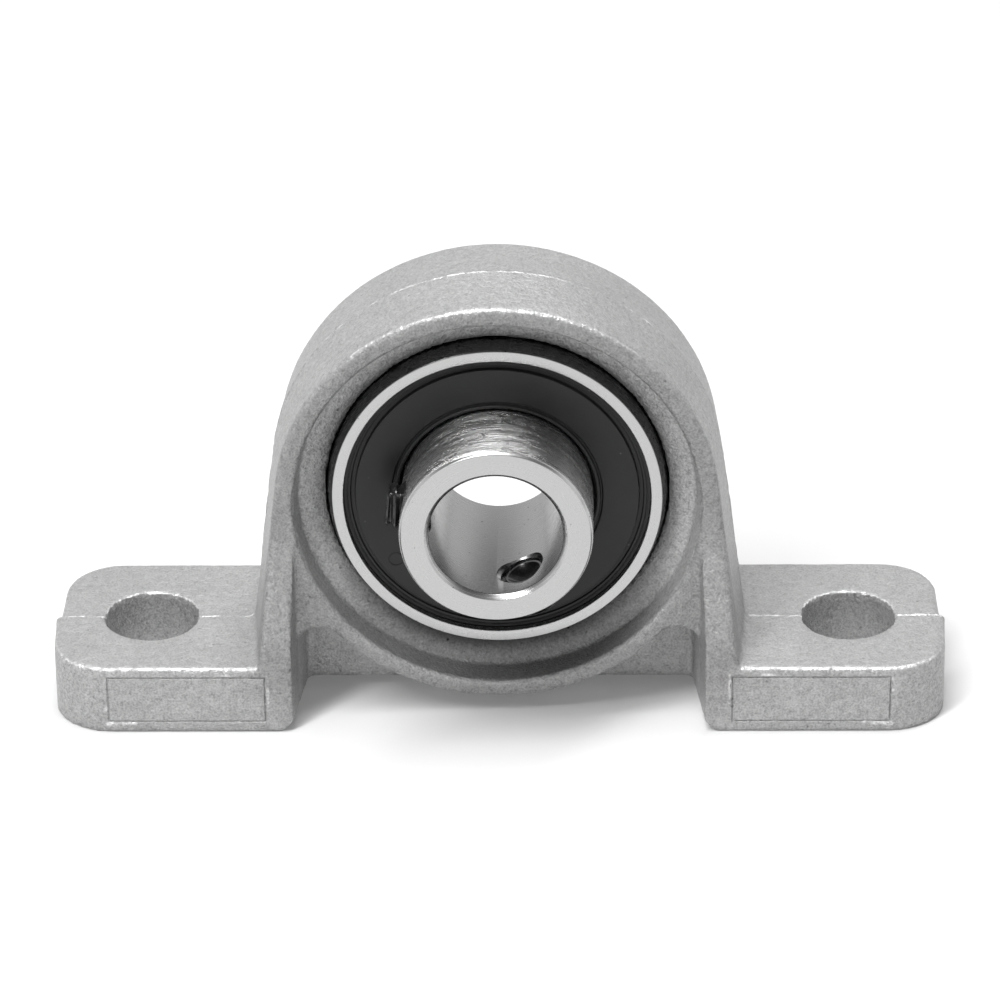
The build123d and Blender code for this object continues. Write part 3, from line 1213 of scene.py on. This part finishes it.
@dataclass
class OuterRing:
    """The outer ring: a ball outside, a ball groove and two seal seats inside."""

    sizes: BearingSizes
    material: bpy.types.Material
    bead_depth: float = 0.35
    bead_height: float = 0.2
    edge_rounding: float = 0.1
    seat_rounding: float = 0.06
    outside_steps: int = 40

    def build(self) -> bpy.types.Object:
        """Turn the ring.

        Returns:
            The finished piece.
        """
        size = self.sizes
        wide = size.half_width
        seat = size.face - size.rim
        middle, half = size.groove_under(1, size.land)
        bead = size.seal_back + self.bead_depth
        steps = [
            (bead + self.bead_height / 2, seat),
            (bead, seat + self.bead_height),
            (size.seal_back, seat + self.bead_height),
            (size.seal_back, size.land),
        ]
        section = HalfSection((-wide, seat, self.seat_rounding), (-wide, size.face, self.edge_rounding))
        angle = 2 * math.asin(wide / size.sphere)
        section.swing((0.0, 0.0), -angle, self.outside_steps, self.edge_rounding)
        section.through((wide, seat, self.seat_rounding), *steps, (half, size.land))
        section.swing((0.0, middle), 2 * math.asin(half / size.groove), size.groove_steps)
        section.through(*((-along, out) for along, out in reversed(steps)))
        dressing = Dressing(Body.OUTER, Slot.BEARING_STEEL, self.material, ("outer_ring",))
        return hand_over("outer_ring_ground", section.revolve(size.steps), dressing, size.centre)


@dataclass
class Seal:
    """One rubber seal: a bead at its edge, a moat, a flat face and a double lip."""

    sizes: BearingSizes
    material: bpy.types.Material
    washer: NodeBox
    node: NodeBox
    clearance: float = 0.05
    face_drop: float = 0.35
    lip_drop: float = 0.22
    moat_depth: float = 0.27
    washer_inset: float = 0.9
    mark_place: Span = (-7.65, -5.4)
    mark_radius: float = 0.58
    mark_width: float = 0.1
    mark_depth: float = 0.05

    def build(self, name: str, side: int) -> bpy.types.Object:
        """Mould the seal.

        Args:
            name: The CAD node that it stands for.
            side: -1 for the front one and 1 for the rear one.

        Returns:
            The finished piece.
        """
        size = self.sizes
        face = size.half_width - self.face_drop
        shape = cut(self.section(face).revolve(size.steps), self.mark_tool(face))
        if side < 0:
            bmesh.ops.scale(shape, vec=(1, -1, 1), verts=shape.verts[:])
            bmesh.ops.recalc_face_normals(shape, faces=shape.faces[:])
        dressing = Dressing(Body.OUTER, Slot.SEAL_RUBBER, self.material, (name,))
        return hand_over(name + "_rubber", shape, dressing, size.centre)

    def section(self, face: float) -> HalfSection:
        """Draw the rear seal's section.

        Args:
            face: Where its flat face lies along the axis.

        Returns:
            The section: bead and rim, moat, face, lips, and the seat of the steel washer.
        """
        size = self.sizes
        back = size.seal_back
        plate = back + self.washer.size.y
        washer_out = self.washer.size.x / 2
        bead_out = self.node.size.x / 2
        moat = face - self.moat_depth
        rim = size.face - size.rim - self.clearance
        lip = size.half_width - self.lip_drop
        inner = size.inner_outside + self.clearance
        washer_in = inner + self.washer_inset
        return HalfSection(
            (back, washer_out),
            (back, bead_out, 0.05),
            (back + 0.3, bead_out, 0.05),
            (back + 0.4, rim, 0.04),
            (moat, rim - 0.1),
            (moat, rim - 0.26),
            (moat + 0.04, rim - 0.32, 0.02),
            (moat + 0.02, rim - 0.48, 0.03),
            (plate + 0.02, rim - 0.52, 0.03),
            (plate + 0.02, rim - 0.82, 0.03),
            (face - 0.03, rim - 0.86, 0.05),
            (face, rim - 1.5),
            (face, inner + 0.68, 0.04),
            (face - 0.14, inner + 0.6, 0.03),
            (face - 0.14, inner + 0.5, 0.03),
            (lip, inner + 0.44, 0.04),
            (lip, inner + 0.24, 0.04),
            (plate, inner),
            (back, inner + 0.2, 0.05),
            (back, washer_in),
            (plate, washer_in),
            (plate, washer_out),
        )

    def mark_tool(self, face: float) -> bmesh.types.BMesh:
        """Shape the round gate mark that the mould leaves on the face.

        Args:
            face: Where the face lies along the axis.

        Returns:
            The tool, at the mark's place.
        """
        outer, inner = self.mark_radius, self.mark_radius - self.mark_width
        above, floor = face + 10 * self.mark_depth, face - self.mark_depth
        section = HalfSection((above, inner), (above, outer), (floor, outer, 0.02), (floor, inner, 0.02))
        across, up = self.mark_place
        return transformed(section.revolve(32), Matrix.Translation((across, 0, up)))


@dataclass
class ScrewPlace:
    """Where one set screw lies, read from its node."""

    node: str
    sizes: BearingSizes

    @property
    def away(self) -> Vector:
        """Give the way from the bearing's middle to the screw's."""
        return NodeBox.of(self.node).middle - self.sizes.centre

    @property
    def matrix(self) -> Matrix:
        """Find the matrix from the screw's own frame, Z outwards, to the bearing's.

        Returns:
            The matrix.
        """
        away = self.away
        out = Vector((away.x, 0, away.z)).normalized()
        forwards = Vector((0, 1, 0))
        turn = Matrix((forwards, out.cross(forwards), out)).transposed().to_4x4()
        return Matrix.Translation((0, away.y, 0)) @ turn


@dataclass
class InnerRing:
    """The inner ring: long to the front, bored and ground, with two tapped holes."""

    sizes: BearingSizes
    material: bpy.types.Material
    rear_break: float = 0.28
    front_break: float = 0.36
    tap: Thread = Thread(crest=2.0, root=1.77, flank_share=0.34)
    tap_start: float = 3.6
    tap_beyond: float = 0.6
    mouth: float = 0.28
    mouth_beyond: float = 0.4

    def build(self, screws: Iterable[ScrewPlace]) -> bpy.types.Object:
        """Turn the ring and tap its holes.

        Args:
            screws: Where the set screws lie.

        Returns:
            The finished piece.
        """
        size = self.sizes
        outside = size.inner_outside
        middle, half = size.groove_under(-1, outside)
        shape = self.section(middle, half).revolve(size.steps)
        for screw in screws:
            tap = self.tap.bar(self.tap_start, outside + self.tap_beyond)
            shape = cut(shape, transformed(tap, screw.matrix))
            shape = cut(shape, transformed(self.mouth_tool(outside), screw.matrix))
        dressing = Dressing(Body.INNER, Slot.BEARING_STEEL, self.material, ("inner_ring",))
        return hand_over("inner_ring_ground", shape, dressing, size.centre)

    def section(self, middle: float, half: float) -> HalfSection:
        """Draw the ring's section, rear end first, with its edges broken.

        Args:
            middle: The radius on which the ball groove's centre lies.
            half: Half the groove's width.

        Returns:
            The section.
        """
        size = self.sizes
        front = size.inner.low.y - size.centre.y
        rear = size.inner.high.y - size.centre.y
        outside, bore = size.inner_outside, size.bore
        section = HalfSection(
            (half, outside),
            (rear - 0.4, outside),
            (rear, outside, 0.18),
            (rear, bore + self.rear_break, 0.03),
            (rear - self.rear_break, bore, 0.05),
            (front + self.front_break, bore, 0.05),
            (front, bore + 0.34, 0.03),
            (front, outside - 0.21, 0.05),
            (front + self.front_break, outside, 0.08),
            (-half, outside),
        )
        section.swing((0.0, middle), 2 * math.asin(half / size.groove), size.groove_steps)
        return section

    def mouth_tool(self, outside: float) -> bmesh.types.BMesh:
        """Shape the broken edge round a hole's mouth.

        Args:
            outside: The ring's outer radius.

        Returns:
            The tool, with the hole's axis along Z.
        """
        low, high = outside - self.mouth, outside + self.mouth_beyond
        wide = self.tap.root + self.mouth + self.mouth_beyond
        section = HalfSection((low, 0), (low, self.tap.root), (high, wide), (high, 0))
        return transformed(section.revolve(64), AXIS_UP)


@dataclass
class SetScrew:
    """A socket set screw with a cup point."""

    sizes: BearingSizes
    material: bpy.types.Material
    thread: Thread = Thread(crest=1.72, root=1.42)
    half_length: float = 1.5
    socket_flats: float = 2.0
    socket_depth: float = 1.4
    socket_beyond: float = 0.5
    socket_turn: float = 0.3
    socket_mouth: float = 0.2
    end_break: float = 0.26
    cup_radius: float = 1.3
    cup_depth: float = 1.25
    cup_beyond: float = 0.3

    def build(self, place: ScrewPlace, body: Body) -> bpy.types.Object:
        """Cut the screw.

        Args:
            place: Where the screw lies.
            body: The body that it rides on.

        Returns:
            The finished piece.
        """
        middle = Vector((place.away.x, place.away.z)).length
        tip, end = middle - self.half_length, middle + self.half_length
        shape = cut(self.thread.bar(tip, end), self.envelope(tip, end), Cut.KEEP_INSIDE)
        for tool in (self.socket_tool(end), self.socket_mouth_tool(end), self.cup_tool(tip)):
            shape = cut(shape, tool)
        transformed(shape, place.matrix)
        dressing = Dressing(body, Slot.BLACK_STEEL, self.material, (place.node,))
        return hand_over(place.node + "_threaded", shape, dressing, self.sizes.centre)

    def envelope(self, tip: float, end: float) -> bmesh.types.BMesh:
        """Shape the bar that the thread is cut into, broken at both ends.

        Args:
            tip: The height of the cup point.
            end: The height of the socket's end.

        Returns:
            The bar, along Z.
        """
        spare = 10 * NEAR
        wide, narrow = self.thread.crest + spare, self.thread.crest - self.end_break
        low, high = tip + self.end_break + spare, end - self.end_break - spare
        corners = ((tip, 0), (tip, narrow), (low, wide), (high, wide), (end, narrow), (end, 0))
        return transformed(HalfSection(*corners).revolve(64), AXIS_UP)

    def socket_tool(self, end: float) -> bmesh.types.BMesh:
        """Shape the hexagon socket.

        Args:
            end: The height of the socket's end.

        Returns:
            The tool, along Z.
        """
        tool = bmesh.new()
        corner = self.socket_flats / 2 / math.cos(math.radians(30))
        depth = self.socket_depth + self.socket_beyond
        lift = Matrix.Translation((0, 0, end + self.socket_beyond - depth / 2))
        matrix = lift @ Matrix.Rotation(self.socket_turn, 4, "Z")
        bmesh.ops.create_cone(
            tool, cap_ends=True, segments=6, radius1=corner, radius2=corner, depth=depth, matrix=matrix
        )
        return tool

    def socket_mouth_tool(self, end: float) -> bmesh.types.BMesh:
        """Shape the cone that breaks the socket's mouth.

        Args:
            end: The height of the socket's end.

        Returns:
            The tool, along Z.
        """
        radius, mouth = self.socket_flats / 2, self.socket_mouth
        low, high = end - mouth, end + mouth
        section = HalfSection((low, 0), (low, radius), (high, radius + 2 * mouth), (high, 0))
        return transformed(section.revolve(48), AXIS_UP)

    def cup_tool(self, tip: float) -> bmesh.types.BMesh:
        """Shape the hollow of the cup point.

        Args:
            tip: The height of the cup point.

        Returns:
            The tool, along Z.
        """
        low, wide = tip - self.cup_beyond, self.cup_radius + self.cup_beyond
        section = HalfSection((low, 0), (low, wide), (tip, self.cup_radius), (tip + self.cup_depth, 0))
        return transformed(section.revolve(48), AXIS_UP)


def dress_nodes(names: Iterable[str], material: bpy.types.Material) -> None:
    """Give CAD nodes that stay visible a finish, on their objects' own slots.

    Args:
        names: The nodes.
        material: Their finish.
    """
    for name in names:
        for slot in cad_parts[name].material_slots:
            slot.link = "OBJECT"
            slot.material = material
        log.info("%s: kept, in %s", name, material.name)


@dataclass(frozen=True)
class SoftBox:
    """A soft lamp, wide across and deep from front to back, that steel may or may not mirror."""

    name: str
    place: tuple[float, float, float]
    wide: float
    deep: float
    power: float
    mirrored: bool = True

    def hang(self, target: Vector) -> None:
        """Hang the lamp.

        Args:
            target: Where it points, in metres.
        """
        lamp = bpy.data.lights.new(self.name, "AREA")
        lamp.shape = "RECTANGLE"
        lamp.size = self.wide
        lamp.size_y = self.deep
        lamp.energy = self.power
        holder = bpy.data.objects.new(self.name, lamp)
        holder.location = self.place
        holder.rotation_euler = (target - Vector(self.place)).to_track_quat("-Z", "Y").to_euler()
        holder.visible_glossy = self.mirrored
        bpy.context.scene.collection.objects.link(holder)


@dataclass(frozen=True)
class Studio:
    """A white paper floor in a white room with a darker ceiling, two lamps, and the photo's camera."""

    floor_half: float = 3.0
    floor_tone: float = 0.74
    floor_glow: float = 0.1
    ambient: float = 0.37
    ceiling: Span = (0.3, 0.7)
    ceiling_dim: float = 0.8
    camera_place: tuple[float, float, float] = (9.0, -394.2, 237.4)
    camera_pitch: float = 29.36
    camera_yaw: float = -1.29
    camera_roll: float = 0.75
    camera_lens: float = 216.0
    camera_sensor: float = 36.0
    camera_near: float = 0.01
    lamps: tuple[SoftBox, ...] = (
        SoftBox("key_lamp", (-0.07, -0.08, 0.53), 0.09, 0.75, 4.9),
        SoftBox("left_lamp", (-0.45, -0.4, 0.3), 0.35, 0.35, 0.3, mirrored=False),
    )

    def build(self, target: Vector) -> None:
        """Set up the floor, the sky, the lamps and the camera.

        Args:
            target: Where the lamps point, in metres.
        """
        self.lay_floor()
        self.light_sky()
        for lamp in self.lamps:
            lamp.hang(target)
        self.set_camera()
        bpy.context.scene.view_settings.view_transform = "Standard"

    @staticmethod
    def seen_directly(nodes: Nodes) -> Value:
        """Tell rays that show a thing from rays that light it.

        Args:
            nodes: The tree that the answer is used in.

        Returns:
            1 for a ray to the camera or in a reflection, and otherwise 0.
        """
        path = nodes.node("ShaderNodeLightPath")
        kinds = ("Is Camera Ray", "Is Glossy Ray", "Is Transmission Ray")
        camera, glossy, through = (Value(nodes, path.outputs[kind]) for kind in kinds)
        return camera.larger(glossy).larger(through)

    def lay_floor(self) -> None:
        """Lay the paper, which looks white and still takes the object's shadow."""
        shape = bmesh.new()
        bmesh.ops.create_grid(shape, x_segments=4, y_segments=4, size=self.floor_half)
        floor = scene_object("paper_floor", shape)
        material = bpy.data.materials.new("white_paper")
        material.use_nodes = True
        nodes = Nodes(material.node_tree)
        paper = nodes.node("ShaderNodeBsdfDiffuse", inputs={"Color": (*(self.floor_tone,) * 3, 1.0)})
        strength = self.floor_glow * self.seen_directly(nodes)
        glow = nodes.node("ShaderNodeEmission", inputs={"Strength": strength})
        both = nodes.node("ShaderNodeAddShader", inputs={0: paper.outputs[0], 1: glow.outputs[0]})
        nodes.node("ShaderNodeOutputMaterial", inputs={"Surface": both.outputs[0]})
        floor.data.materials.append(material)

    def light_sky(self) -> None:
        """Make the surroundings white to look at, with a darker ceiling, and softer as a light."""
        world = bpy.data.worlds.new("white_room")
        bpy.context.scene.world = world
        world.use_nodes = True
        nodes = Nodes(world.node_tree)
        towards = nodes.node("ShaderNodeTexCoord").outputs["Generated"]
        height = Value(nodes, nodes.node("ShaderNodeSeparateXYZ", inputs={0: towards}).outputs["Z"])
        strength = self.ambient + (1.0 - self.ambient) * self.seen_directly(nodes)
        strength = strength * (1.0 - self.ceiling_dim * height.rise(*self.ceiling))
        sky = nodes.node("ShaderNodeBackground", inputs={"Color": (1, 1, 1, 1), "Strength": strength})
        nodes.node("ShaderNodeOutputWorld", inputs={"Surface": sky.outputs[0]})

    def set_camera(self) -> None:
        """Set the camera where the photograph was taken from."""
        camera = bpy.data.cameras.new("photo_camera")
        camera.lens = self.camera_lens
        camera.sensor_width = self.camera_sensor
        camera.clip_start = self.camera_near
        holder = bpy.data.objects.new("photo_camera", camera)
        turn = Matrix.Rotation(math.radians(-self.camera_yaw), 4, "Z")
        tip = Matrix.Rotation(math.radians(90 - self.camera_pitch), 4, "X")
        roll = Matrix.Rotation(math.radians(-self.camera_roll), 4, "Z")
        place = Matrix.Translation(Vector(self.camera_place) * MILLIMETRE)
        holder.matrix_world = place @ turn @ tip @ roll
        bpy.context.scene.collection.objects.link(holder)
        bpy.context.scene.camera = holder


def main() -> None:
    """Build the studio and the pieces, in order."""
    logging.basicConfig(level=logging.INFO, format="%(message)s")
    sizes = BearingSizes(NodeBox.of("outer_ring"), NodeBox.of("inner_ring"), NodeBox.of("ball_1"))
    Studio().build(sizes.centre * MILLIMETRE)
    steel = GroundSteel(sizes.centre, sizes.bore, sizes.inner_outside, sizes.face).mix()
    rubber = SealRubber().mix()
    black = BlackOxide().mix()
    pressed = PressedSteel().mix()
    Housing(NodeBox.of("housing"), sizes.centre, CastZinc(sizes.centre).mix()).build()
    OuterRing(sizes, steel).build()
    for name, side in (("front_seal", -1), ("rear_seal", 1)):
        Seal(sizes, rubber, NodeBox.of(name + "_washer"), NodeBox.of(name)).build(name, side)
    places = {
        Body.LEFT_SCREW: ScrewPlace("left_set_screw", sizes),
        Body.LOWER_SCREW: ScrewPlace("lower_set_screw", sizes),
    }
    InnerRing(sizes, steel).build(places.values())
    for body, place in places.items():
        SetScrew(sizes, black).build(place, body)
    rivets = [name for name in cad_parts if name.startswith("cage_rivet")]
    balls = [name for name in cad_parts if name.startswith("ball_")]
    dress_nodes(["cage_front", "cage_rear", "front_seal_washer", "rear_seal_washer", *rivets], pressed)
    dress_nodes(balls, BallSteel().mix())


if __name__ == "__main__":
    main()
